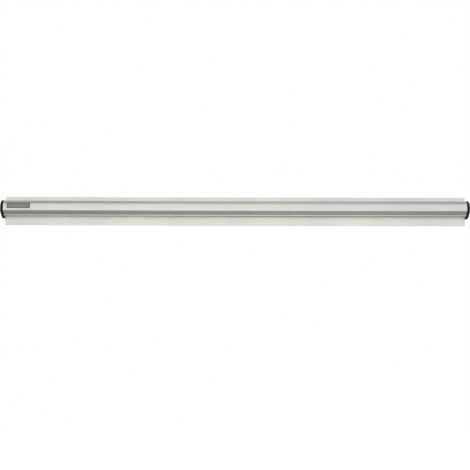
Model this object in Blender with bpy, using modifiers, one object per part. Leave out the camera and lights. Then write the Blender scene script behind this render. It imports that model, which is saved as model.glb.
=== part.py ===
# Order ticket rail: an extruded aluminium hood on a wall plate, closed by two moulded end caps,
# with a row of loose glass marbles in the hood as its grip.
# Metres, +Z up. The wall lies in the plane Y = 0, the front faces -Y and the length runs along X.
# Profiles are drawn as (depth, height): depth is measured from the wall, height from the plate's middle.

import math

import bmesh
import bpy
from mathutils import Matrix, Vector

OBJECT_NAME = "order_ticket_rail"

# Wall plate
RAIL_LENGTH = 0.914
PLATE_HEIGHT = 0.056
PLATE_THICKNESS = 0.0022
PLATE_EDGE_RADIUS = 0.0005

# Hood
UPPER_FLANGE = 0.0086
HOOD_DEPTH = 0.0283
HOOD_HEIGHT = 0.0296
HOOD_WALL = 0.0016
CROWN_RADIUS = 0.0125
BEND_RADIUS = 0.0052
ROOT_RADIUS = 0.0008
FRONT_LEAN_DEGREES = 4.5
RAMP_SLOPE_DEGREES = 30.0
LIP_DEPTH = 0.0162
LIP_HEIGHT = 0.0015
LIP_EDGE_RADIUS = 0.0004

# Gap between pieces that touch on the real rail
SEAT_GAP = 0.0003
# How far a joined or cutting shape reaches past the face that it meets
OVERRUN = 0.0005

# End caps
CAP_RIM_THICKNESS = 0.0036
CAP_RIM_MARGIN = 0.0007
CAP_RIM_RADIUS = 0.0006
CAP_BACK_CLEARANCE = 0.0004
CAP_SKIRT = 0.0022
CAP_FOOT_DROP = 0.0049
CAP_FOOT_RADIUS = 0.0015
DOME_INSET = 0.0014
DOME_CORNER_RADIUS = 0.0085
DOME_HEIGHT = 0.0038
DOME_RINGS = 6
DOME_LAST_RING_DEGREES = 80
SPIGOT_LENGTH = 0.0080
SPIGOT_WALL = 0.0018
SPIGOT_WEB = 0.0014

# Marbles
MARBLE_DIAMETER = 0.0180
MARBLE_SEGMENTS = 14
MARBLE_RINGS = 8

# Foam tape in the plate's back
TAPE_WIDTH = 0.0120
TAPE_THICKNESS = 0.0007
TAPE_END_MARGIN = 0.0060
TAPE_EDGE_MARGIN = 0.0045

# Blank label on the hood
LABEL_WIDTH = 0.0458
LABEL_HEIGHT = 0.0110
LABEL_THICKNESS = 0.0004
LABEL_CORNER_RADIUS = 0.0016
LABEL_END_MARGIN = 0.0075
LABEL_CROWN_DROP = 0.0056

# How finely round corners are drawn, and where shading breaks
ARC_STEP_DEGREES = 12
FILLET_LIMIT_SHARE = 0.95
SHARP_EDGE_DEGREES = 30
MERGE_DISTANCE = 0.00001

# Heights and depths that follow from the sizes above
PLATE_TOP = PLATE_HEIGHT / 2
PLATE_BOTTOM = -PLATE_HEIGHT / 2
HOOD_TOP = PLATE_TOP - UPPER_FLANGE
LIP_BOTTOM = HOOD_TOP - HOOD_HEIGHT
LIP_TOP = LIP_BOTTOM + LIP_HEIGHT
RAIL_END = RAIL_LENGTH / 2
MARBLE_RADIUS = MARBLE_DIAMETER / 2
RAMP_SLOPE = math.radians(RAMP_SLOPE_DEGREES)
FRONT_LEAN = math.radians(FRONT_LEAN_DEGREES)

# Turns a drawing's (depth, height) into the part's (-Y, Z), with its thickness along X
PROFILE_TURN = Matrix(((0, 0, -1), (-1, 0, 0), (0, 1, 0))).to_euler()
# Turns a drawing's (across, up) into the part's (X, Z), with its thickness along Y
FRONT_TURN = Matrix(((1, 0, 0), (0, 0, -1), (0, 1, 0))).to_euler()


def clear_scene():
    for item in list(bpy.data.objects):
        bpy.data.objects.remove(item, do_unlink=True)


def make_collection(name):
    collection = bpy.data.collections.new(name)
    bpy.context.scene.collection.children.link(collection)
    return collection


def make_material(name, colour, roughness, metallic=0.0):
    material = bpy.data.materials.new(name)
    material.use_nodes = True
    shader = material.node_tree.nodes["Principled BSDF"]
    shader.inputs["Base Color"].default_value = (*colour, 1.0)
    shader.inputs["Roughness"].default_value = roughness
    shader.inputs["Metallic"].default_value = metallic
    return material


# Outlines

def arc_points(centre, radius, start, turn):
    steps = max(1, round(abs(math.degrees(turn)) / ARC_STEP_DEGREES))
    angles = [start + turn * step / steps for step in range(steps + 1)]
    return [centre + radius * Vector((math.cos(a), math.sin(a))) for a in angles]


def rounded(corners):
    # Each corner is a point and the radius that rounds it; the outline is closed.
    # Where a side is too short for the rounds at both its ends, both shrink alike.
    count = len(corners)
    points = [Vector(point) for point, _ in corners]
    sides = [points[(i + 1) % count] - points[i] for i in range(count)]
    halves = [(-sides[i - 1]).angle(sides[i]) / 2 for i in range(count)]
    reaches = [radius / math.tan(half) for (_, radius), half in zip(corners, halves)]
    room = []
    for i, side in enumerate(sides):
        taken = reaches[i] + reaches[(i + 1) % count]
        free = FILLET_LIMIT_SHARE * side.length
        room.append(1 if taken <= free else free / taken)
    outline = []
    for i, here in enumerate(points):
        reach = reaches[i] * min(room[i - 1], room[i])
        if reach == 0:
            outline.append(here)
            continue
        before = -sides[i - 1].normalized()
        after = sides[i].normalized()
        radius = reach * math.tan(halves[i])
        centre = here + (before + after).normalized() * radius / math.sin(halves[i])
        first = here + before * reach - centre
        last = here + after * reach - centre
        start = math.atan2(first.y, first.x)
        turn = math.atan2(first.cross(last), first.dot(last))
        outline.extend(arc_points(centre, radius, start, turn))
    return outline


def ramp_height(depth, inset):
    # Height of the ramp's line at a depth, drawn inwards from the hood's outer face by inset
    return LIP_TOP + (depth - LIP_DEPTH) * math.tan(RAMP_SLOPE) + inset / math.cos(RAMP_SLOPE)


def front_depth(height, inset):
    # Depth of the front's line at a height. The front leans back as it rises from its foot on the ramp.
    rise = height - ramp_height(HOOD_DEPTH, 0)
    return HOOD_DEPTH - rise * math.tan(FRONT_LEAN) - inset / math.cos(FRONT_LEAN)


def bend_corner(front_inset, ramp_inset):
    # Where the front's line and the ramp's line cross, each drawn inwards by its own inset
    at_wall = front_depth(ramp_height(0, ramp_inset), front_inset)
    depth = at_wall / (1 + math.tan(RAMP_SLOPE) * math.tan(FRONT_LEAN))
    return depth, ramp_height(depth, ramp_inset)


def hood_corners(inset):
    # Crown, front bend and lip corner of the hood's section, inwards from its outer face by inset
    top = HOOD_TOP - inset
    lip = LIP_DEPTH - inset
    return [
        ((front_depth(top, inset), top), CROWN_RADIUS - inset),
        (bend_corner(inset, inset), BEND_RADIUS - inset),
        ((lip, ramp_height(lip, inset)), 0),
    ]


def tape_heights():
    # Middles of the two tape strips, which lie alike above and below the plate's middle
    offset = PLATE_TOP - TAPE_EDGE_MARGIN - TAPE_WIDTH / 2
    return {"tape_lower": -offset, "tape_upper": offset}


def recess_corners(middle):
    floor = TAPE_THICKNESS + SEAT_GAP
    reach = TAPE_WIDTH / 2 + SEAT_GAP
    return [
        ((0, middle - reach), 0),
        ((floor, middle - reach), 0),
        ((floor, middle + reach), 0),
        ((0, middle + reach), 0),
    ]


def rail_outline():
    crown, bend, lip = hood_corners(0)
    inner_crown, inner_bend, inner_lip = hood_corners(HOOD_WALL)
    back = [corner for middle in tape_heights().values() for corner in recess_corners(middle)]
    return rounded([
        ((0, PLATE_BOTTOM), PLATE_EDGE_RADIUS),
        *back,
        ((0, PLATE_TOP), PLATE_EDGE_RADIUS),
        ((PLATE_THICKNESS, PLATE_TOP), PLATE_EDGE_RADIUS),
        ((PLATE_THICKNESS, HOOD_TOP), ROOT_RADIUS),
        crown,
        bend,
        lip,
        ((LIP_DEPTH, LIP_BOTTOM), LIP_EDGE_RADIUS),
        ((LIP_DEPTH - HOOD_WALL, LIP_BOTTOM), LIP_EDGE_RADIUS),
        inner_lip,
        inner_bend,
        inner_crown,
        ((PLATE_THICKNESS, HOOD_TOP - HOOD_WALL), ROOT_RADIUS),
        ((PLATE_THICKNESS, PLATE_BOTTOM), PLATE_EDGE_RADIUS),
    ])


def rim_outline(inset, foot_radius):
    # The cap covers the hood's end, runs on under the ramp and closes the slot down to its foot
    top = HOOD_TOP + CAP_RIM_MARGIN - inset
    back = CAP_BACK_CLEARANCE + inset
    foot = LIP_BOTTOM - CAP_FOOT_DROP + inset
    before_front = inset - CAP_RIM_MARGIN
    below_ramp = inset - CAP_SKIRT
    rise = foot - ramp_height(0, below_ramp)
    return rounded([
        ((back, top), foot_radius),
        ((front_depth(top, before_front), top), CROWN_RADIUS - before_front),
        (bend_corner(before_front, below_ramp), max(BEND_RADIUS, foot_radius)),
        ((rise / math.tan(RAMP_SLOPE), foot), foot_radius),
        ((back, foot), foot_radius),
    ])


def spigot_outline(inset):
    crown, bend, lip = hood_corners(HOOD_WALL + SEAT_GAP + inset)
    back = PLATE_THICKNESS + SEAT_GAP + inset
    return rounded([((back, crown[0][1]), 0), crown, bend, lip, ((back, lip[0][1]), 0)])


# Solids

def add_flat(name, outlines, thickness, turn, location):
    # Extrudes closed outlines; one that lies inside another is a hole
    curve = bpy.data.curves.new(name, "CURVE")
    curve.dimensions = "2D"
    curve.fill_mode = "BOTH"
    curve.extrude = thickness / 2
    for outline in outlines:
        spline = curve.splines.new("POLY")
        spline.points.add(len(outline) - 1)
        for point, place in zip(spline.points, outline):
            point.co = (place[0], place[1], 0, 1)
        spline.use_cyclic_u = True
    item = bpy.data.objects.new(name, curve)
    item.rotation_euler = turn
    item.location = location
    bpy.context.scene.collection.objects.link(item)
    return curve_to_mesh(item)


def curve_to_mesh(item):
    name = item.name
    bpy.context.view_layer.update()
    evaluated = item.evaluated_get(bpy.context.evaluated_depsgraph_get())
    mesh = bpy.data.meshes.new_from_object(evaluated)
    matrix = item.matrix_world.copy()
    bpy.data.objects.remove(item, do_unlink=True)
    bm = bmesh.new()
    bm.from_mesh(mesh)
    bmesh.ops.remove_doubles(bm, verts=bm.verts, dist=MERGE_DISTANCE)
    bmesh.ops.recalc_face_normals(bm, faces=bm.faces)
    bm.to_mesh(mesh)
    bm.free()
    solid = bpy.data.objects.new(name, mesh)
    solid.matrix_world = matrix
    return solid


def finish(item, collection, material):
    collection.objects.link(item)
    item.data.materials.clear()
    item.data.materials.append(material)
    item.data.shade_smooth()
    item.data.set_sharp_from_angle(angle=math.radians(SHARP_EDGE_DEGREES))
    return item


def combine(item, tool, operation, cutters):
    cutters.objects.link(tool)
    tool.hide_render = True
    tool.display_type = "WIRE"
    boolean = item.modifiers.new(tool.name, "BOOLEAN")
    boolean.operation = operation
    boolean.solver = "EXACT"
    boolean.object = tool


def add_box(name, size, location):
    mesh = bpy.data.meshes.new(name)
    bm = bmesh.new()
    bmesh.ops.create_cube(bm, size=1, matrix=Matrix.Diagonal((*size, 1)))
    bm.to_mesh(mesh)
    bm.free()
    box = bpy.data.objects.new(name, mesh)
    box.location = location
    return box


def add_dome(name, outline, side, base_x):
    # The outline shrinks towards its middle, ring by ring, as it rises along X
    middle = sum(outline, Vector((0, 0))) / len(outline)
    bm = bmesh.new()
    base = bm.faces.new([bm.verts.new((0, -p.x, p.y)) for p in outline])
    face = base.copy()
    centre = Vector((0, -middle.x, middle.y))
    angles = [math.radians(DOME_LAST_RING_DEGREES) * step / DOME_RINGS for step in range(DOME_RINGS + 1)]
    scale = 1
    height = -OVERRUN
    for angle in angles:
        face = bmesh.ops.extrude_discrete_faces(bm, faces=[face])["faces"][0]
        rise = DOME_HEIGHT * math.sin(angle) / math.sin(angles[-1])
        shrink = Matrix.Diagonal((1, math.cos(angle) / scale, math.cos(angle) / scale, 1))
        bmesh.ops.transform(bm, matrix=shrink, space=Matrix.Translation(-centre), verts=face.verts)
        bmesh.ops.translate(bm, vec=(side * (rise - height), 0, 0), verts=face.verts)
        scale = math.cos(angle)
        height = rise
    bmesh.ops.remove_doubles(bm, verts=bm.verts, dist=MERGE_DISTANCE)
    bmesh.ops.recalc_face_normals(bm, faces=bm.faces)
    mesh = bpy.data.meshes.new(name)
    bm.to_mesh(mesh)
    bm.free()
    dome = bpy.data.objects.new(name, mesh)
    dome.location.x = base_x - side * OVERRUN
    return dome


# Sub-parts

def add_rail(parts, material):
    rail = add_flat("rail_extrusion", [rail_outline()], RAIL_LENGTH, PROFILE_TURN, (0, 0, 0))
    return finish(rail, parts, material)


def add_end_cap(name, side, parts, cutters, material):
    inner_face = RAIL_END + SEAT_GAP
    outer_face = inner_face + CAP_RIM_THICKNESS
    rim_x = side * (inner_face + outer_face) / 2
    rim = add_flat(name, [rim_outline(0, CAP_FOOT_RADIUS)], CAP_RIM_THICKNESS, PROFILE_TURN, (rim_x, 0, 0))
    edge = rim.modifiers.new("rim_edges", "BEVEL")
    edge.width = CAP_RIM_RADIUS
    edge.segments = 2
    edge.limit_method = "ANGLE"
    edge.angle_limit = math.radians(SHARP_EDGE_DEGREES)

    dome_outline = rim_outline(DOME_INSET, DOME_CORNER_RADIUS)
    dome = add_dome(name + "_dome", dome_outline, side, side * outer_face)
    combine(rim, dome, "UNION", cutters)

    spigot_depth = SPIGOT_LENGTH + SEAT_GAP + OVERRUN
    spigot_x = side * (inner_face + OVERRUN - spigot_depth / 2)
    walls = [spigot_outline(0), spigot_outline(SPIGOT_WALL)]
    spigot = add_flat(name + "_spigot", walls, spigot_depth, PROFILE_TURN, (spigot_x, 0, 0))
    combine(rim, spigot, "UNION", cutters)

    # Two crossed webs, which reach halfway into the spigot's walls
    inset = HOOD_WALL + SEAT_GAP + SPIGOT_WALL / 2
    (_, top), _ = hood_corners(inset)[0]
    (_, bottom), _ = hood_corners(inset)[1]
    back = PLATE_THICKNESS + SEAT_GAP + SPIGOT_WALL / 2
    middle_height = (top + bottom) / 2
    front = front_depth(middle_height, inset)
    middle_depth = (back + front) / 2
    lowest = ramp_height(middle_depth, inset)
    across = add_box(
        name + "_web_across",
        (spigot_depth, front - back, SPIGOT_WEB),
        (spigot_x, -middle_depth, middle_height),
    )
    combine(rim, across, "UNION", cutters)
    upright = add_box(
        name + "_web_upright",
        (spigot_depth, SPIGOT_WEB, top - lowest),
        (spigot_x, -middle_depth, (top + lowest) / 2),
    )
    combine(rim, upright, "UNION", cutters)
    return finish(rim, parts, material)


def marble_centre():
    # A marble rests against the plate and on the ramp
    reach = MARBLE_RADIUS + SEAT_GAP
    depth = PLATE_THICKNESS + reach
    return depth, ramp_height(depth, HOOD_WALL) + reach / math.cos(RAMP_SLOPE)


def add_marbles(parts, material):
    depth, height = marble_centre()
    mesh = bpy.data.meshes.new("marble")
    bm = bmesh.new()
    bmesh.ops.create_uvsphere(
        bm, u_segments=MARBLE_SEGMENTS, v_segments=MARBLE_RINGS, radius=MARBLE_RADIUS
    )
    bm.to_mesh(mesh)
    bm.free()
    free_length = RAIL_LENGTH - 2 * (SPIGOT_LENGTH + SEAT_GAP)
    count = math.floor((free_length + SEAT_GAP) / (MARBLE_DIAMETER + SEAT_GAP))
    pitch = (free_length - MARBLE_DIAMETER) / (count - 1)
    first = -pitch * (count - 1) / 2
    for index in range(count):
        marble = bpy.data.objects.new(f"marble_{index + 1:02d}", mesh)
        marble.location = (first + pitch * index, -depth, height)
        if index == 0:
            finish(marble, parts, material)
        else:
            parts.objects.link(marble)


def add_tapes(parts, material):
    length = RAIL_LENGTH - 2 * TAPE_END_MARGIN
    for name, middle in tape_heights().items():
        tape = add_box(name, (length, TAPE_THICKNESS, TAPE_WIDTH), (0, -TAPE_THICKNESS / 2, middle))
        finish(tape, parts, material)


def hood_face(inset, lowest, highest):
    # The stretch of the hood's front between two heights, from the crown down
    radius = CROWN_RADIUS - inset
    middle = HOOD_TOP - CROWN_RADIUS
    centre = Vector((front_depth(middle, CROWN_RADIUS), middle))
    start = math.asin((highest - middle) / radius)
    crown = arc_points(centre, radius, start, FRONT_LEAN - start)
    return [*crown, Vector((front_depth(lowest, inset), lowest))]


def add_label(parts, cutters, material):
    highest = HOOD_TOP - LABEL_CROWN_DROP
    lowest = highest - LABEL_HEIGHT
    left = -RAIL_END + LABEL_END_MARGIN
    middle_x = left + LABEL_WIDTH / 2
    outer = hood_face(-SEAT_GAP - LABEL_THICKNESS, lowest - OVERRUN, highest + OVERRUN)
    inner = hood_face(-SEAT_GAP, lowest - OVERRUN, highest + OVERRUN)
    band = add_flat(
        "label", [[*outer, *reversed(inner)]], LABEL_WIDTH + 2 * OVERRUN, PROFILE_TURN, (middle_x, 0, 0)
    )
    outline = rounded([
        ((-LABEL_WIDTH / 2, lowest), LABEL_CORNER_RADIUS),
        ((LABEL_WIDTH / 2, lowest), LABEL_CORNER_RADIUS),
        ((LABEL_WIDTH / 2, highest), LABEL_CORNER_RADIUS),
        ((-LABEL_WIDTH / 2, highest), LABEL_CORNER_RADIUS),
    ])
    trim = add_flat("label_trim", [outline], 2 * HOOD_DEPTH, FRONT_TURN, (middle_x, -HOOD_DEPTH, 0))
    combine(band, trim, "INTERSECT", cutters)
    return finish(band, parts, material)


def build():
    clear_scene()
    parts = make_collection(OBJECT_NAME)
    cutters = make_collection(OBJECT_NAME + "_cutters")
    aluminium = make_material("anodised_aluminium", (0.62, 0.63, 0.60), 0.35, 1.0)
    black_plastic = make_material("black_plastic", (0.012, 0.012, 0.013), 0.35)
    glass = make_material("marble_glass", (0.75, 0.85, 0.82), 0.05)
    foam = make_material("foam_tape", (0.80, 0.80, 0.78), 0.9)
    foil = make_material("label_foil", (0.24, 0.245, 0.23), 0.4)
    add_rail(parts, aluminium)
    add_end_cap("left_end_cap", -1, parts, cutters, black_plastic)
    add_end_cap("right_end_cap", 1, parts, cutters, black_plastic)
    add_marbles(parts, glass)
    add_tapes(parts, foam)
    add_label(parts, cutters, foil)


build()
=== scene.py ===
import math
import random

import bmesh
import bpy
from mathutils import Matrix, Quaternion, Vector, noise


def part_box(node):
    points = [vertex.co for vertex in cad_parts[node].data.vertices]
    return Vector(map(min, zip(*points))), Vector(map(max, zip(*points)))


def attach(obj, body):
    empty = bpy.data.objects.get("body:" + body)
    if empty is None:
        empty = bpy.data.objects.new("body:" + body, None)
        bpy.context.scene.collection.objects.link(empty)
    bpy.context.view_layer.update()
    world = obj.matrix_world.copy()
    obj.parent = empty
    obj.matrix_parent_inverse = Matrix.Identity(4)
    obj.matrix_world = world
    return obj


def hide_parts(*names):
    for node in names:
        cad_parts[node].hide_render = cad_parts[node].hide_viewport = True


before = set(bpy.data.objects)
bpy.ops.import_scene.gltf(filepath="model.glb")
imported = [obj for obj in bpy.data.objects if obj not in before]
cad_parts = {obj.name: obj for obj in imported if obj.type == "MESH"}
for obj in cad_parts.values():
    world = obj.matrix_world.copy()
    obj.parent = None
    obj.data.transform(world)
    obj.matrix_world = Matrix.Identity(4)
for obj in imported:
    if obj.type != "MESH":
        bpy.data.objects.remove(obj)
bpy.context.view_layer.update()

random.seed(7)

# Sections are drawn as (depth, height): depth from the wall towards the viewer,
# height from the middle of the wall plate. The part's own axes are X, -Y and Z.
# Lengths are in metres.


# Meshes

arcs = {
    "fine": math.radians(3),   # turn from point to point on a wide arc
    "cap": math.radians(5),
    "coarse": math.radians(15),
    "wide": 0.003,             # arcs over this radius are wide
    "sideShare": 0.95,         # how much of a side its two arcs may take
}
sharpAngle = math.radians(30)


def arcPoints(centre, radius, start, turn, step=None):
    step = step or (arcs["fine"] if radius > arcs["wide"] else arcs["coarse"])
    count = max(1, round(abs(turn) / step))
    angles = [start + turn * i / count for i in range(count + 1)]
    return [centre + radius * Vector((math.cos(a), math.sin(a))) for a in angles]


def roundCorners(corners, step=None):
    # each corner is a point and its radius; the outline closes on itself
    points = [Vector(p) for p, _ in corners]
    sides = [points[(i + 1) % len(points)] - points[i] for i in range(len(points))]
    halves = [(-sides[i - 1]).angle(sides[i]) / 2 for i in range(len(points))]
    reaches = [r / math.tan(h) for (_, r), h in zip(corners, halves)]
    room = []
    for i, side in enumerate(sides):
        taken = reaches[i] + reaches[(i + 1) % len(points)]
        room.append(min(1, arcs["sideShare"] * side.length / taken) if taken else 1)
    outline = []
    for i, here in enumerate(points):
        reach = reaches[i] * min(room[i - 1], room[i])
        if reach == 0:
            outline.append(here)
            continue
        before, after = -sides[i - 1].normalized(), sides[i].normalized()
        radius = reach * math.tan(halves[i])
        centre = here + (before + after).normalized() * radius / math.sin(halves[i])
        first, last = here + before * reach - centre, here + after * reach - centre
        turn = math.atan2(first.cross(last), first.dot(last))
        outline.extend(arcPoints(centre, radius, math.atan2(first.y, first.x), turn, step))
    return outline


def ringAt(bm, outline, x):
    return [bm.verts.new((x, -p.x, p.y)) for p in outline]


def bridge(bm, low, high, material=0):
    faces = []
    for i in range(len(low)):
        j = (i + 1) % len(low)
        faces.append(bm.faces.new((low[i], low[j], high[j], high[i])))
        faces[-1].material_index = material
    return faces


def makeObject(name, bm, materials):
    bmesh.ops.recalc_face_normals(bm, faces=bm.faces)
    mesh = bpy.data.meshes.new(name)
    bm.to_mesh(mesh)
    bm.free()
    for material in materials:
        mesh.materials.append(material)
    mesh.shade_smooth()
    mesh.set_sharp_from_angle(angle=sharpAngle)
    item = bpy.data.objects.new(name, mesh)
    bpy.context.scene.collection.objects.link(item)
    return item


def evenNormals(item):
    weighted = item.modifiers.new("evenNormals", "WEIGHTED_NORMAL")
    weighted.keep_sharp = True
    weighted.weight = 50


def join(item, tools):
    # one closed skin from the item and what is moulded onto it
    for tool in tools:
        union = item.modifiers.new(tool.name, "BOOLEAN")
        union.operation = "UNION"
        union.solver = "EXACT"
        union.object = tool
    bpy.context.view_layer.update()
    evaluated = item.evaluated_get(bpy.context.evaluated_depsgraph_get())
    mesh = bpy.data.meshes.new_from_object(evaluated)
    item.modifiers.clear()
    item.data = mesh
    for tool in tools:
        bpy.data.objects.remove(tool, do_unlink=True)
    mesh.shade_smooth()
    mesh.set_sharp_from_angle(angle=sharpAngle)


def makeBox(name, low, high):
    bm = bmesh.new()
    size = high - low
    shape = Matrix.Translation((low + high) / 2) @ Matrix.Diagonal((*size, 1))
    bmesh.ops.create_cube(bm, size=1, matrix=shape)
    return makeObject(name, bm, [])


# Shader nodes

def addNode(tree, kind, values=None, **settings):
    item = tree.nodes.new(kind)
    for key, value in settings.items():
        setattr(item, key, value)
    for key, value in (values or {}).items():
        item.inputs[key].default_value = value
    return item


def feed(tree, source, item, key):
    tree.links.new(source, item.inputs[key])


def calculate(tree, operation, first, second=0.0, clamp=False):
    item = addNode(tree, "ShaderNodeMath", operation=operation, use_clamp=clamp)
    for index, value in enumerate((first, second)):
        if isinstance(value, (int, float)):
            item.inputs[index].default_value = value
        else:
            tree.links.new(value, item.inputs[index])
    return item.outputs[0]


def rescale(tree, value, low, high, toLow, toHigh):
    item = addNode(tree, "ShaderNodeMapRange")
    item.clamp = True
    for index, number in enumerate((low, high, toLow, toHigh)):
        item.inputs[index + 1].default_value = number
    feed(tree, value, item, 0)
    return item.outputs[0]


def blendColours(tree, factor, first, second):
    item = addNode(tree, "ShaderNodeMix", data_type="RGBA")
    feed(tree, factor, item, 0)
    for index, colour in ((6, first), (7, second)):
        if isinstance(colour, tuple):
            item.inputs[index].default_value = (*colour, 1)
        else:
            tree.links.new(colour, item.inputs[index])
    return item.outputs[2]


def weigh(tree, first, second, share):
    # the share of the first, and the rest from the second
    part = calculate(tree, "MULTIPLY", first, share)
    rest = calculate(tree, "MULTIPLY", second, 1 - share)
    return calculate(tree, "ADD", part, rest)


def startGroup(name, inputs, outputs):
    tree = bpy.data.node_groups.new(name, "ShaderNodeTree")
    for socketName, value in inputs.items():
        socket = tree.interface.new_socket(name=socketName, in_out="INPUT", socket_type="NodeSocketFloat")
        socket.default_value = value
    for socketName in outputs:
        tree.interface.new_socket(name=socketName, in_out="OUTPUT", socket_type="NodeSocketFloat")
    return tree, tree.nodes.new("NodeGroupInput").outputs, tree.nodes.new("NodeGroupOutput")


def scaledPlace(tree, along, across):
    # object coordinates, stretched along X and alike over the section
    place = addNode(tree, "ShaderNodeTexCoord").outputs["Object"]
    factors = addNode(tree, "ShaderNodeCombineXYZ")
    feed(tree, along, factors, 0)
    feed(tree, across, factors, 1)
    feed(tree, across, factors, 2)
    product = addNode(tree, "ShaderNodeVectorMath", operation="MULTIPLY")
    tree.links.new(place, product.inputs[0])
    tree.links.new(factors.outputs[0], product.inputs[1])
    return product.outputs[0]


def edgeWearGroup():
    values = {"Width": 0.0004, "Gain": 4.0, "Patchiness": 60.0}
    tree, inside, out = startGroup("edgeWear", values, ["Mask"])
    bevel = addNode(tree, "ShaderNodeBevel", samples=4)
    feed(tree, inside["Width"], bevel, "Radius")
    dot = addNode(tree, "ShaderNodeVectorMath", operation="DOT_PRODUCT")
    tree.links.new(bevel.outputs[0], dot.inputs[0])
    tree.links.new(addNode(tree, "ShaderNodeNewGeometry").outputs["Normal"], dot.inputs[1])
    bend = calculate(tree, "SUBTRACT", 1.0, dot.outputs["Value"], clamp=True)
    raised = calculate(tree, "MULTIPLY", bend, inside["Gain"], clamp=True)
    patches = addNode(tree, "ShaderNodeTexNoise", {"Detail": 5.0, "Roughness": 0.65})
    feed(tree, addNode(tree, "ShaderNodeTexCoord").outputs["Object"], patches, "Vector")
    feed(tree, inside["Patchiness"], patches, "Scale")
    broken = rescale(tree, patches.outputs[0], 0.38, 0.68, 0.0, 1.0)
    feed(tree, calculate(tree, "MULTIPLY", raised, broken, clamp=True), out, "Mask")
    return tree


def grainGroup():
    tree, inside, out = startGroup("fineGrain", {"Scale": 4000.0, "Stretch": 1.0}, ["Height", "Speck"])
    along = calculate(tree, "MULTIPLY", inside["Scale"], inside["Stretch"])
    place = scaledPlace(tree, along, inside["Scale"])
    cloud = addNode(tree, "ShaderNodeTexNoise", {"Scale": 1.0, "Detail": 3.0, "Roughness": 0.6})
    feed(tree, place, cloud, "Vector")
    cells = addNode(tree, "ShaderNodeTexVoronoi", {"Scale": 0.6})
    feed(tree, place, cells, "Vector")
    feed(tree, cloud.outputs[0], out, "Height")
    feed(tree, rescale(tree, cells.outputs["Distance"], 0.05, 0.45, 1.0, 0.0), out, "Speck")
    return tree


def smudgeGroup():
    tree, inside, out = startGroup("handling", {"Scale": 12.0, "Contrast": 1.0}, ["Mask"])
    place = addNode(tree, "ShaderNodeTexCoord").outputs["Object"]
    broad = addNode(tree, "ShaderNodeTexNoise", {"Detail": 6.0, "Roughness": 0.55, "Distortion": 0.6})
    feed(tree, place, broad, "Vector")
    feed(tree, inside["Scale"], broad, "Scale")
    centred = calculate(tree, "SUBTRACT", broad.outputs[0], 0.5)
    spread = calculate(tree, "MULTIPLY", centred, inside["Contrast"])
    feed(tree, calculate(tree, "ADD", spread, 0.5, clamp=True), out, "Mask")
    return tree


groups = {"wear": edgeWearGroup(), "grain": grainGroup(), "handling": smudgeGroup()}


def useGroup(tree, name, values):
    item = tree.nodes.new("ShaderNodeGroup")
    item.node_tree = groups[name]
    for key, value in values.items():
        item.inputs[key].default_value = value
    return item.outputs


def startMaterial(name, values):
    material = bpy.data.materials.new(name)
    material.use_nodes = True
    shader = material.node_tree.nodes["Principled BSDF"]
    for key, value in values.items():
        shader.inputs[key].default_value = value
    return material, material.node_tree, shader


def addBump(tree, shader, height, strength, distance):
    bump = addNode(tree, "ShaderNodeBump", {"Strength": strength, "Distance": distance})
    feed(tree, height, bump, "Height")
    feed(tree, bump.outputs[0], shader, "Normal")


# Finishes

anodised = {
    "clean": (0.600, 0.622, 0.569),
    "clouded": (0.566, 0.587, 0.537),
    "worn": (0.720, 0.725, 0.700),
    "roughness": (0.395, 0.495),
    "lines": {"Scale": 2600.0, "Stretch": 0.0015},    # die lines run the whole length
    "etch": {"Scale": 5200.0, "Stretch": 1.0},
    "handling": {"Scale": 9.0, "Contrast": 1.6},
    "wear": {"Width": 0.00035, "Gain": 5.0, "Patchiness": 90.0},
    "bump": (0.4, 0.00008),    # strength and depth
}


def anodisedMaterial():
    material, tree, shader = startMaterial("satinAnodised", {"Metallic": 1.0})
    lines = useGroup(tree, "grain", anodised["lines"])
    etched = useGroup(tree, "grain", anodised["etch"])
    handled = useGroup(tree, "handling", anodised["handling"])
    worn = useGroup(tree, "wear", anodised["wear"])
    body = blendColours(tree, handled["Mask"], anodised["clean"], anodised["clouded"])
    feed(tree, blendColours(tree, worn["Mask"], body, anodised["worn"]), shader, "Base Color")
    dull = weigh(tree, handled["Mask"], lines["Height"], 0.6)
    feed(tree, rescale(tree, dull, 0.25, 0.75, *anodised["roughness"]), shader, "Roughness")
    addBump(tree, shader, weigh(tree, lines["Height"], etched["Height"], 0.7), *anodised["bump"])
    return material


sawn = {
    "colour": (0.80, 0.80, 0.78),
    "dull": (0.66, 0.66, 0.65),
    "roughness": (0.28, 0.50),
    "bladeAngle": math.radians(24),
    "lineScales": (1, 60, 3400),
    "handling": {"Scale": 120.0, "Contrast": 1.4},
    "bump": (0.5, 0.00006),
}


def sawnMaterial():
    material, tree, shader = startMaterial("sawnAluminium", {"Metallic": 1.0})
    turned = addNode(tree, "ShaderNodeMapping")
    turned.inputs["Rotation"].default_value = (sawn["bladeAngle"], 0, 0)
    turned.inputs["Scale"].default_value = sawn["lineScales"]
    feed(tree, addNode(tree, "ShaderNodeTexCoord").outputs["Object"], turned, "Vector")
    teeth = addNode(tree, "ShaderNodeTexNoise", {"Scale": 1.0, "Detail": 4.0})
    feed(tree, turned.outputs[0], teeth, "Vector")
    handled = useGroup(tree, "handling", sawn["handling"])
    feed(tree, blendColours(tree, handled["Mask"], sawn["colour"], sawn["dull"]), shader, "Base Color")
    feed(tree, rescale(tree, teeth.outputs[0], 0.3, 0.7, *sawn["roughness"]), shader, "Roughness")
    addBump(tree, shader, teeth.outputs[0], *sawn["bump"])
    return material


moulded = {
    "black": (0.003, 0.003, 0.0033),
    "dusty": (0.007, 0.007, 0.0074),
    "rubbed": (0.040, 0.040, 0.042),
    "roughness": (0.32, 0.46),
    "sparks": {"Scale": 2200.0, "Stretch": 1.0},      # spark-eroded texture of the mould
    "handling": {"Scale": 60.0, "Contrast": 1.5},
    "wear": {"Width": 0.0005, "Gain": 3.0, "Patchiness": 160.0},
    "bump": (0.18, 0.00008),
}


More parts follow.
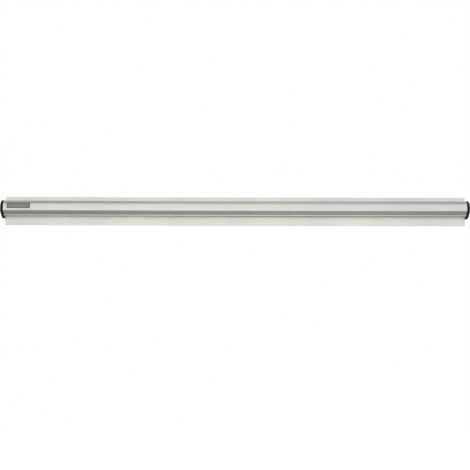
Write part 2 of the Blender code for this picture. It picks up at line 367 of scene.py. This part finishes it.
def mouldedMaterial():
    material, tree, shader = startMaterial("mouldedPlastic", {"IOR": 1.5, "Specular IOR Level": 0.08})
    sparked = useGroup(tree, "grain", moulded["sparks"])
    handled = useGroup(tree, "handling", moulded["handling"])
    worn = useGroup(tree, "wear", moulded["wear"])
    body = blendColours(tree, handled["Mask"], moulded["black"], moulded["dusty"])
    feed(tree, blendColours(tree, worn["Mask"], body, moulded["rubbed"]), shader, "Base Color")
    dull = weigh(tree, handled["Mask"], sparked["Height"], 0.5)
    feed(tree, rescale(tree, dull, 0.25, 0.75, *moulded["roughness"]), shader, "Roughness")
    addBump(tree, shader, sparked["Speck"], *moulded["bump"])
    return material


glass = {
    "clear": (0.95, 0.98, 0.97),
    "tinted": (0.80, 0.92, 0.88),
    "roughness": (0.02, 0.09),
    "swirl": {"Scale": 70.0, "Contrast": 2.2},
    "scuffs": {"Scale": 900.0, "Stretch": 1.0},
    "bump": (0.15, 0.0003),
}


def glassMaterial():
    material, tree, shader = startMaterial("pressedGlass", {"IOR": 1.52, "Transmission Weight": 1.0})
    swirl = useGroup(tree, "handling", glass["swirl"])
    own = addNode(tree, "ShaderNodeObjectInfo").outputs["Random"]
    mixed = weigh(tree, swirl["Mask"], own, 0.7)
    feed(tree, blendColours(tree, mixed, glass["clear"], glass["tinted"]), shader, "Base Color")
    scuffed = useGroup(tree, "grain", glass["scuffs"])
    feed(tree, rescale(tree, scuffed["Speck"], 0.55, 1.0, *glass["roughness"]), shader, "Roughness")
    addBump(tree, shader, swirl["Mask"], *glass["bump"])
    return material


foam = {
    "pale": (0.80, 0.80, 0.77),
    "shaded": (0.62, 0.62, 0.59),
    "cells": {"Scale": 2600.0, "Stretch": 1.0},
    "handling": {"Scale": 40.0, "Contrast": 1.3},
    "bump": (0.6, 0.00012),
}


def foamMaterial():
    material, tree, shader = startMaterial("foamTape", {"Roughness": 0.85, "IOR": 1.4})
    cells = useGroup(tree, "grain", foam["cells"])
    handled = useGroup(tree, "handling", foam["handling"])
    mottled = weigh(tree, cells["Speck"], handled["Mask"], 0.55)
    feed(tree, blendColours(tree, mottled, foam["pale"], foam["shaded"]), shader, "Base Color")
    addBump(tree, shader, cells["Speck"], *foam["bump"])
    return material


foil = {
    "bright": (0.23, 0.235, 0.215),
    "matt": (0.19, 0.195, 0.18),
    "roughness": (0.30, 0.42),
    "brushing": {"Scale": 7000.0, "Stretch": 0.02},
    "handling": {"Scale": 45.0, "Contrast": 1.4},
    "bump": (0.2, 0.00003),
}


def foilMaterial():
    material, tree, shader = startMaterial("labelFoil", {"Metallic": 1.0})
    brushed = useGroup(tree, "grain", foil["brushing"])
    handled = useGroup(tree, "handling", foil["handling"])
    feed(tree, blendColours(tree, handled["Mask"], foil["bright"], foil["matt"]), shader, "Base Color")
    feed(tree, rescale(tree, brushed["Height"], 0.3, 0.7, *foil["roughness"]), shader, "Roughness")
    addBump(tree, shader, brushed["Height"], *foil["bump"])
    return material


ink = {
    "dark": (0.045, 0.046, 0.043),
    "thin": (0.075, 0.076, 0.071),
    "roughness": (0.42, 0.60),
    "screen": {"Scale": 6000.0, "Stretch": 1.0},
    "wear": {"Scale": 150.0, "Contrast": 2.0},
    "bump": (0.2, 0.00003),
}


def inkMaterial():
    material, tree, shader = startMaterial("labelInk", {"IOR": 1.45})
    screened = useGroup(tree, "grain", ink["screen"])
    worn = useGroup(tree, "handling", ink["wear"])
    feed(tree, blendColours(tree, worn["Mask"], ink["dark"], ink["thin"]), shader, "Base Color")
    feed(tree, rescale(tree, screened["Height"], 0.3, 0.7, *ink["roughness"]), shader, "Roughness")
    addBump(tree, shader, screened["Height"], *ink["bump"])
    return material


print("finishes: making the materials")
finishes = {
    "anodised": anodisedMaterial(),
    "sawn": sawnMaterial(),
    "moulded": mouldedMaterial(),
    "glass": glassMaterial(),
    "foam": foamMaterial(),
    "foil": foilMaterial(),
    "ink": inkMaterial(),
}


# The rail

rail = {
    "upperFlange": 0.0086,
    "plateThickness": 0.0022,
    "plateEdge": 0.0005,
    "hoodDepth": 0.0283,
    "hoodHeight": 0.0296,
    "wall": 0.0016,
    "crownRadius": 0.0125,
    "bendRadius": 0.0052,
    "rootRadius": 0.0008,
    "frontLean": math.radians(4.5),
    "rampSlope": math.radians(30.0),
    "lipDepth": 0.0162,
    "lipHeight": 0.0015,
    "lipEdge": 0.0004,
    "sawnEdge": 0.0002,        # broken edge left by the saw
    "tapeClearance": 0.0003,
}

railLow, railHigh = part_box("rail_extrusion")
railEnd = railHigh.x
plateTop, plateBottom = railHigh.z, railLow.z
hoodTop = plateTop - rail["upperFlange"]
lipBottom = hoodTop - rail["hoodHeight"]
lipTop = lipBottom + rail["lipHeight"]


def rampHeight(depth, inset):
    slope = rail["rampSlope"]
    return lipTop + (depth - rail["lipDepth"]) * math.tan(slope) + inset / math.cos(slope)


def frontDepth(height, inset):
    # the front leans back from the bend, where it stands furthest out
    lean = rail["frontLean"]
    rise = height - rampHeight(rail["hoodDepth"], 0)
    return rail["hoodDepth"] - rise * math.tan(lean) - inset / math.cos(lean)


def bendCorner(frontInset, rampInset):
    # where the lines of the front and the ramp cross
    atWall = frontDepth(rampHeight(0, rampInset), frontInset)
    depth = atWall / (1 + math.tan(rail["rampSlope"]) * math.tan(rail["frontLean"]))
    return depth, rampHeight(depth, rampInset)


def hoodCorners(inset):
    lip = rail["lipDepth"] - inset
    return [
        ((frontDepth(hoodTop - inset, inset), hoodTop - inset), rail["crownRadius"] - inset),
        (bendCorner(inset, inset), rail["bendRadius"] - inset),
        ((lip, rampHeight(lip, inset)), 0),
    ]


def recessCorners(node):
    low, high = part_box(node)
    gap = rail["tapeClearance"]
    floor, bottom, top = -low.y + gap, low.z - gap, high.z + gap
    return [((0, bottom), 0), ((floor, bottom), 0), ((floor, top), 0), ((0, top), 0)]


def railOutline():
    crown, bend, lip = hoodCorners(0)
    innerCrown, innerBend, innerLip = hoodCorners(rail["wall"])
    plate, edge, root = rail["plateThickness"], rail["plateEdge"], rail["rootRadius"]
    return roundCorners([
        ((0, plateBottom), edge),
        *recessCorners("tape_lower"),
        *recessCorners("tape_upper"),
        ((0, plateTop), edge),
        ((plate, plateTop), edge),
        ((plate, hoodTop), root),
        crown, bend, lip,
        ((rail["lipDepth"], lipBottom), rail["lipEdge"]),
        ((rail["lipDepth"] - rail["wall"], lipBottom), rail["lipEdge"]),
        innerLip, innerBend, innerCrown,
        ((plate, hoodTop - rail["wall"]), root),
        ((plate, plateBottom), edge),
    ])


def makeRail():
    outline = railOutline()
    bm = bmesh.new()
    low, high = ringAt(bm, outline, -railEnd), ringAt(bm, outline, railEnd)
    bridge(bm, low, high)
    ends = [bm.faces.new(low), bm.faces.new(high)]
    rims = [edge for face in ends for edge in face.edges]
    for face in ends:
        face.material_index = 1
    bmesh.ops.bevel(bm, geom=rims, offset=rail["sawnEdge"], segments=1, affect="EDGES", material=1)
    item = makeObject("rail_profile", bm, [finishes["anodised"], finishes["sawn"]])
    evenNormals(item)
    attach(item, "rail")
    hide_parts("rail_extrusion")


print("rail: extruding the section")
makeRail()


# The end caps

cap = {
    "seatGap": 0.0003,
    "rimThickness": 0.0036,
    "rimMargin": 0.0007,
    "rimRadius": 0.0006,
    "rimSteps": 5,
    "rimBackEdge": 0.00025,
    "backClearance": 0.0004,
    "skirt": 0.0022,
    "footDrop": 0.0049,
    "footRadius": 0.0015,
    "partingInset": 0.00003,   # fine raised line where the mould halves met
    "partingProud": 0.00004,
    "partingWidth": 0.0002,
    "domeInset": 0.0014,
    "domeCorner": 0.0085,
    "domeRings": 16,
    "domeSweep": math.radians(88),
    "spigotWall": 0.0018,
    "spigotWeb": 0.0014,
    "overlap": 0.0005,
}


def rimOutline(inset, corner):
    # drawn from the hood's own lines, which the rim stands proud of
    fromHood, below = inset - cap["rimMargin"], inset - cap["skirt"]
    top, foot = hoodTop - fromHood, lipBottom - cap["footDrop"] + inset
    back = cap["backClearance"] + inset
    toe = (foot - rampHeight(0, below)) / math.tan(rail["rampSlope"])
    return roundCorners([
        ((back, top), corner),
        ((frontDepth(top, fromHood), top), rail["crownRadius"] - fromHood),
        (bendCorner(fromHood, below), max(rail["bendRadius"], corner)),
        ((toe, foot), corner),
        ((back, foot), corner),
    ], arcs["cap"])


def spigotOutline(inset):
    crown, bend, lip = hoodCorners(rail["wall"] + cap["seatGap"] + inset)
    back = rail["plateThickness"] + cap["seatGap"] + inset
    return roundCorners([((back, crown[0][1]), 0), crown, bend, lip, ((back, lip[0][1]), 0)], arcs["cap"])


def capRings(height):
    # (distance out from the inner face, outline) from the rail outwards
    crest, half, radius = cap["partingInset"], cap["partingWidth"] / 2, cap["rimRadius"]
    face = crest + cap["partingProud"]
    thick, corner = cap["rimThickness"], cap["footRadius"]
    steps = [(0, face + cap["rimBackEdge"]), (cap["rimBackEdge"], face)]
    steps += [(thick / 2 - half, face), (thick / 2, crest), (thick / 2 + half, face)]
    steps.append((thick - radius, face))
    for i in range(1, cap["rimSteps"] + 1):
        angle = math.pi / 2 * i / cap["rimSteps"]
        out = thick - radius + radius * math.sin(angle)
        steps.append((out, face + radius * (1 - math.cos(angle))))
    rings = [(out, rimOutline(inset, corner)) for out, inset in steps]
    base = rimOutline(cap["domeInset"], cap["domeCorner"])
    middle = sum(base, Vector((0, 0))) / len(base)
    for i in range(cap["domeRings"]):
        angle = cap["domeSweep"] * i / (cap["domeRings"] - 1)
        outline = [middle + (p - middle) * math.cos(angle) for p in base]
        rings.append((thick + height * math.sin(angle), outline))
    return rings


def makeSpigot(name, side, inner, depth):
    bm = bmesh.new()
    ends, insets = (inner, inner - side * depth), (0, cap["spigotWall"])
    loops = [ringAt(bm, spigotOutline(inset), x) for x in ends for inset in insets]
    bridge(bm, loops[0], loops[2])
    bridge(bm, loops[1], loops[3])
    bridge(bm, loops[0], loops[1])
    bridge(bm, loops[2], loops[3])
    return makeObject(name, bm, [])


def makeCap(node, side):
    low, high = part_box(node)
    innerFace = railEnd + cap["seatGap"]
    tip = max(abs(low.x), abs(high.x))
    spigotEnd = min(abs(low.x), abs(high.x))
    bm = bmesh.new()
    domeHeight = tip - innerFace - cap["rimThickness"]
    rings = [ringAt(bm, outline, side * (innerFace + out)) for out, outline in capRings(domeHeight)]
    for first, second in zip(rings, rings[1:]):
        bridge(bm, first, second)
    bm.faces.new(rings[0])
    bm.faces.new(rings[-1])
    item = makeObject(node.replace("end_cap", "cap"), bm, [finishes["moulded"]])
    start = innerFace + cap["overlap"]
    length = start - spigotEnd
    spigot = makeSpigot(node + "_spigot", side, side * start, length)
    half = cap["spigotWall"] / 2
    inset = rail["wall"] + cap["seatGap"] + half
    corners = hoodCorners(inset)
    top, bend = corners[0][0][1], corners[1][0][1]
    level = (top + bend) / 2
    back, front = rail["plateThickness"] + cap["seatGap"] + half, frontDepth(level, inset)
    middle, web = (back + front) / 2, cap["spigotWeb"] / 2
    floor = rampHeight(middle, inset)
    xs = sorted((side * start, side * spigotEnd))
    across = makeBox(node + "_web", Vector((xs[0], -front, level - web)),
                     Vector((xs[1], -back, level + web)))
    upright = makeBox(node + "_rib", Vector((xs[0], -middle - web, floor)),
                      Vector((xs[1], -middle + web, top)))
    join(item, [spigot, across, upright])
    evenNormals(item)
    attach(item, "rail")
    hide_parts(node)


print("caps: moulding both ends")
makeCap("left_end_cap", -1)
makeCap("right_end_cap", 1)


# The marbles

marble = {
    "shapes": 4,               # meshes shared by all the marbles
    "roundness": 0.00006,      # how far the pressed glass strays from a sphere
    "ripple": 120.0,
    "shift": (3.7, 1.3, -2.1),     # where in the noise each shape is taken from
}


def marbleMesh(number, radius):
    bm = bmesh.new()
    bmesh.ops.create_icosphere(bm, subdivisions=4, radius=radius - marble["roundness"])
    shift = Vector(marble["shift"]) * Vector((number, 1, 1))
    for vert in bm.verts:
        swell = marble["roundness"] * noise.noise(vert.co * marble["ripple"] + shift)
        vert.co += vert.co.normalized() * swell
    mesh = bpy.data.meshes.new(f"marble_shape_{number}")
    bm.to_mesh(mesh)
    bm.free()
    mesh.materials.append(finishes["glass"])
    mesh.shade_smooth()
    return mesh


def makeMarbles():
    nodes = sorted(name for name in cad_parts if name.startswith("marble_"))
    low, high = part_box(nodes[0])
    shapes = [marbleMesh(i, (high.z - low.z) / 2) for i in range(marble["shapes"])]
    for node in nodes:
        low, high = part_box(node)
        item = bpy.data.objects.new("glass_" + node, random.choice(shapes))
        bpy.context.scene.collection.objects.link(item)
        item.location = (low + high) / 2
        item.rotation_euler = [random.randrange(4) * math.pi / 2 for _ in range(3)]
        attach(item, node)
        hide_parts(node)
    print("marbles:", len(nodes), "in the hood")


makeMarbles()


# The foam tapes

tape = {
    "pieces": 220,             # steps along the strip
    "waver": 0.00012,          # knife wander along the cut edges
    "waves": 30,               # how fast it changes, per metre
    "cuts": (0.3, 5.3),        # the lower and the upper cut wander apart
    "strips": 90,              # and so do the two strips
    "edge": 0.0001,
}


def makeTape(node):
    low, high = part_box(node)
    bm = bmesh.new()
    rings = []
    for i in range(tape["pieces"] + 1):
        x = low.x + (high.x - low.x) * i / tape["pieces"]
        spots = [Vector((x * tape["waves"], cut, low.z * tape["strips"])) for cut in tape["cuts"]]
        shift = [tape["waver"] * (noise.noise(spot) - 1) / 2 for spot in spots]
        bottom, top = low.z - shift[0], high.z + shift[1]
        e = tape["edge"]
        section = [(low.y, bottom + e), (low.y + e, bottom), (high.y - e, bottom), (high.y, bottom + e),
                   (high.y, top - e), (high.y - e, top), (low.y + e, top), (low.y, top - e)]
        rings.append([bm.verts.new((x, y, z)) for y, z in section])
    for first, second in zip(rings, rings[1:]):
        bridge(bm, first, second)
    bm.faces.new(rings[0])
    bm.faces.new(rings[-1])
    item = makeObject("foam_" + node, bm, [finishes["foam"]])
    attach(item, "rail")
    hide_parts(node)


print("tapes: laying both strips")
makeTape("tape_upper")
makeTape("tape_lower")


# The label

label = {
    "lift": 0.00006,           # glue line
    "thickness": 0.00022,
    "corner": 0.0016,
    "leastCorner": 0.0002,
    "margin": 0.0003,
    "border": 0.0011,
    "fieldDrop": 0.00004,      # the field lies a little lower than the printed border
    "slice": 0.0005,           # height of the strips that bend over the crown
    "cutReach": 0.000001,      # points this near to a cut lie on it
}


def labelRing(bm, low, high, inset):
    radius = max(label["corner"] - inset, label["leastCorner"])
    corners = [((low.x + inset, low.z + inset), radius), ((high.x - inset, low.z + inset), radius),
               ((high.x - inset, high.z - inset), radius), ((low.x + inset, high.z - inset), radius)]
    return [bm.verts.new((p.x, 0, p.y)) for p in roundCorners(corners)]


def makeLabel():
    low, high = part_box("label")
    bm = bmesh.new()
    edge, borderIn = label["margin"], label["margin"] + label["border"]
    insets = (0, edge, borderIn, borderIn + label["fieldDrop"])
    rings = [labelRing(bm, low, high, inset) for inset in insets]
    bridge(bm, rings[0], rings[1])
    bridge(bm, rings[1], rings[2], material=1)
    bridge(bm, rings[2], rings[3])
    bm.faces.new(rings[3]).material_index = 2
    steps = int((high.z - low.z) / label["slice"])
    for i in range(1, steps):
        level = low.z + i * label["slice"]
        bmesh.ops.bisect_plane(bm, geom=[*bm.verts, *bm.edges, *bm.faces], dist=label["cutReach"],
                               plane_co=(0, 0, level), plane_no=(0, 0, 1))
    crownHeight = hoodTop - rail["crownRadius"]
    crownMiddle = Vector((frontDepth(crownHeight, rail["crownRadius"]), crownHeight))
    lean = rail["frontLean"]

    def onHood(x, z, lift):
        radius = rail["crownRadius"] + lift
        rise = z - crownMiddle.y
        onCrown = rise > radius * math.sin(lean)
        depth = crownMiddle.x + math.sqrt(radius ** 2 - rise ** 2) if onCrown else frontDepth(z, -lift)
        return Vector((x, -depth, z))

    for vert in bm.verts:
        inField = any(face.material_index == 2 for face in vert.link_faces)
        drop = label["fieldDrop"] if inField else 0
        vert.co = onHood(vert.co.x, vert.co.z, label["lift"] + label["thickness"] - drop)
    item = makeObject("label_plate", bm, [finishes["foil"], finishes["ink"], finishes["foil"]])
    if item.data.polygons[0].normal.y > 0:
        item.data.flip_normals()
    thick = item.modifiers.new("thickness", "SOLIDIFY")
    thick.thickness = label["thickness"] - label["fieldDrop"]
    thick.offset = -1
    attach(item, "rail")
    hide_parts("label")


print("label: a blank plate on the hood")
makeLabel()


# Studio

light = {
    "worldLevel": 0.78,
    "floorHeight": -0.9,
    "floorRadius": 7.5,
    "floorShade": 0.41,
    "floorGlow": 0.68,         # what brings the floor up to white where it is seen
    "fadeStart": 0.55,         # as a share of the radius
}


def seenRays(tree):
    # the camera's rays, and those that metal and glass send on
    path = addNode(tree, "ShaderNodeLightPath").outputs
    seen = calculate(tree, "MAXIMUM", path["Is Camera Ray"], path["Is Glossy Ray"])
    return calculate(tree, "MAXIMUM", seen, path["Is Transmission Ray"])


def paperMaterial(name, shade):
    return startMaterial(name, {"Base Color": (shade, shade, shade, 1), "Roughness": 0.9})


def makeFloor():
    bm = bmesh.new()
    bmesh.ops.create_circle(bm, cap_ends=True, segments=96, radius=light["floorRadius"])
    floor = makeObject("floor", bm, [])
    floor.location.z = light["floorHeight"]
    material, tree, shader = paperMaterial("floorPaper", light["floorShade"])
    out = tree.nodes["Material Output"]
    white = addNode(tree, "ShaderNodeEmission", {"Strength": light["floorGlow"]})
    lit = addNode(tree, "ShaderNodeAddShader")
    tree.links.new(shader.outputs[0], lit.inputs[0])
    tree.links.new(white.outputs[0], lit.inputs[1])
    chosen = addNode(tree, "ShaderNodeMixShader")
    feed(tree, seenRays(tree), chosen, 0)
    tree.links.new(shader.outputs[0], chosen.inputs[1])
    tree.links.new(lit.outputs[0], chosen.inputs[2])
    # the disc fades out towards its rim, and doesn't show from below
    flat = addNode(tree, "ShaderNodeTexCoord").outputs["Object"]
    far = addNode(tree, "ShaderNodeVectorMath", operation="LENGTH")
    tree.links.new(flat, far.inputs[0])
    radius = light["floorRadius"]
    fade = rescale(tree, far.outputs["Value"], radius * light["fadeStart"], radius, 1.0, 0.0)
    below = addNode(tree, "ShaderNodeNewGeometry").outputs["Backfacing"]
    above = calculate(tree, "SUBTRACT", 1.0, below)
    fade = calculate(tree, "MULTIPLY", fade, above)
    clear = addNode(tree, "ShaderNodeBsdfTransparent")
    faded = addNode(tree, "ShaderNodeMixShader")
    feed(tree, fade, faded, 0)
    tree.links.new(clear.outputs[0], faded.inputs[1])
    tree.links.new(chosen.outputs[0], faded.inputs[2])
    tree.links.new(faded.outputs[0], out.inputs["Surface"])
    floor.data.materials.append(material)


# grey cards that the metal reflects and no camera sees: size, place, shade, and whether
# the card blocks light, which the lower one doesn't, so that the floor stays lit
cards = {
    "cardOver": ((3.0, 1.6), (0.0, 0.0, 0.96), 0.95, True),
    "cardUnder": ((8.0, 8.0), (0.0, -0.5, -0.89), 0.41, False),
}


def makeCard(name, size, where, shade, blocks):
    bm = bmesh.new()
    shape = Matrix.Diagonal((*size, 1, 1))
    bmesh.ops.create_grid(bm, x_segments=1, y_segments=1, size=0.5, matrix=shape)
    card = makeObject(name, bm, [])
    card.location = where
    card.visible_camera = False
    card.visible_shadow = card.visible_diffuse = card.visible_transmission = blocks
    card.data.materials.append(paperMaterial(name + "Paper", shade)[0])


lamps = {                      # size, place, power and aim
    "key": ((2.9, 0.5), (0.0, -2.6, 0.0), 7.6, (0, 0, 0)),
    "top": ((1.8, 1.2), (0.0, -1.1, 1.7), 10.0, (0, 0, 0)),
    "low": ((1.4, 0.25), (0.0, -1.5, -0.85), 7.7, (0, 0, 0)),
    "pool": ((0.7, 0.4), (0.16, 0.35, -0.5), 1.5, (0.16, 0.35, -0.9)),
    "over": ((0.9, 0.4), (0.1, 0.15, 0.9), 0.59, (0, 0, 0)),
}


def addLamp(name, size, where, power, target):
    data = bpy.data.lights.new(name, "AREA")
    data.shape = "RECTANGLE"
    data.size, data.size_y = size
    data.energy = power
    lamp = bpy.data.objects.new(name, data)
    bpy.context.scene.collection.objects.link(lamp)
    lamp.location = where
    lamp.rotation_euler = (Vector(target) - Vector(where)).to_track_quat("-Z", "Y").to_euler()
    lamp.visible_camera = False


def makeWorld():
    world = bpy.data.worlds.new("studio")
    bpy.context.scene.world = world
    world.use_nodes = True
    tree = world.node_tree
    ambient = tree.nodes["Background"]
    ambient.inputs["Color"].default_value = (1, 1, 1, 1)
    ambient.inputs["Strength"].default_value = light["worldLevel"]
    white = addNode(tree, "ShaderNodeBackground", {"Color": (1, 1, 1, 1), "Strength": 1.0})
    mixed = addNode(tree, "ShaderNodeMixShader")
    feed(tree, seenRays(tree), mixed, 0)
    tree.links.new(ambient.outputs[0], mixed.inputs[1])
    tree.links.new(white.outputs[0], mixed.inputs[2])
    tree.links.new(mixed.outputs[0], tree.nodes["World Output"].inputs["Surface"])


camera = {
    "frame": 470,              # the picture's width and height in pixels
    "focal": 1213,             # focal length in those pixels
    "sensor": 36,
    "distance": 2.398,         # from the plate's face
    "across": 0.0001,
    "height": -0.27,
    "aim": -0.047,
    "roll": math.radians(0.13),
}


def makeCamera():
    data = bpy.data.cameras.new("camera")
    data.sensor_width = camera["sensor"]
    data.lens = camera["focal"] * camera["sensor"] / camera["frame"]
    item = bpy.data.objects.new("camera", data)
    bpy.context.scene.collection.objects.link(item)
    face = -rail["plateThickness"]
    item.location = (camera["across"], face - camera["distance"], camera["height"])
    aim = Vector((camera["across"], face, camera["aim"])) - item.location
    turn = aim.to_track_quat("-Z", "Y") @ Quaternion((0, 0, 1), camera["roll"])
    item.rotation_euler = turn.to_euler()
    bpy.context.scene.camera = item


print("studio: floor, cards, lamps and camera")
makeFloor()
for cardName, settings in cards.items():
    makeCard(cardName, *settings)
for lampName, settings in lamps.items():
    addLamp(lampName, *settings)
makeWorld()
makeCamera()
bpy.context.scene.view_settings.view_transform = "Standard"
